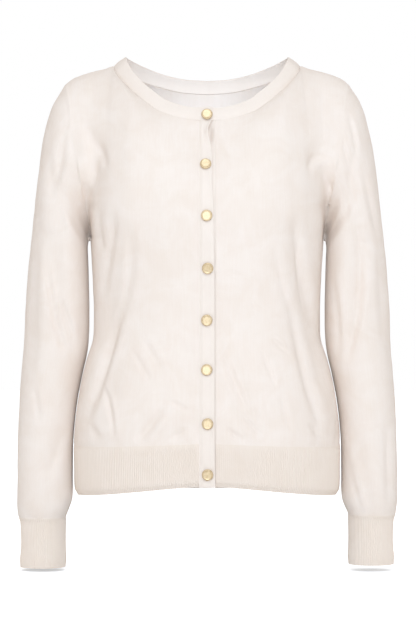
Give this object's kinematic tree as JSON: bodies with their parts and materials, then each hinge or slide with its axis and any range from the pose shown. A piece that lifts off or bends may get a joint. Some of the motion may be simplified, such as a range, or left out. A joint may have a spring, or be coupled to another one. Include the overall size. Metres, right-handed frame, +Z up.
{
  "type": "button cardigan",
  "caption": "Fine-knit round-neck button cardigan, filled out and hollow, with long sleeves, ribbed hem and cuffs and a lapped front.",
  "frame": {"origin": "midway between the two points where the neckband crosses the shoulder seams, where the wearer's shoulders carry the garment", "axes": "+X towards the wearer's left, -Y out of the buttoned front, +Z up"},
  "size_m": [0.5, 0.2307, 0.6713],
  "materials": {
    "knit": "fine plain knit, matt, warm off-white with a faint cloudy shade",
    "rib": "fine 1x1 rib knit, matt, a little darker and warmer",
    "band": "smooth doubled knit band, matt",
    "button": "pale gold metal, satin face with a polished rounded rim"
  },
  "bodies": {
    "root": {"front_right_panel": "knit", "front_left_panel": "knit", "back_panel": "knit", "sleeve_right": "knit", "sleeve_left": "knit", "cuff_rib_right": "rib", "cuff_rib_left": "rib", "hem_rib_front_right": "rib", "hem_rib_front_left": "rib", "hem_rib_back": "rib", "neckband": "band", "buttonhole_band": "band", "button_band": "band", "button_1": "button", "button_2": "button", "button_3": "button", "button_4": "button", "button_5": "button", "button_6": "button", "button_7": "button", "button_8": "button"}
  },
  "joints": []
}
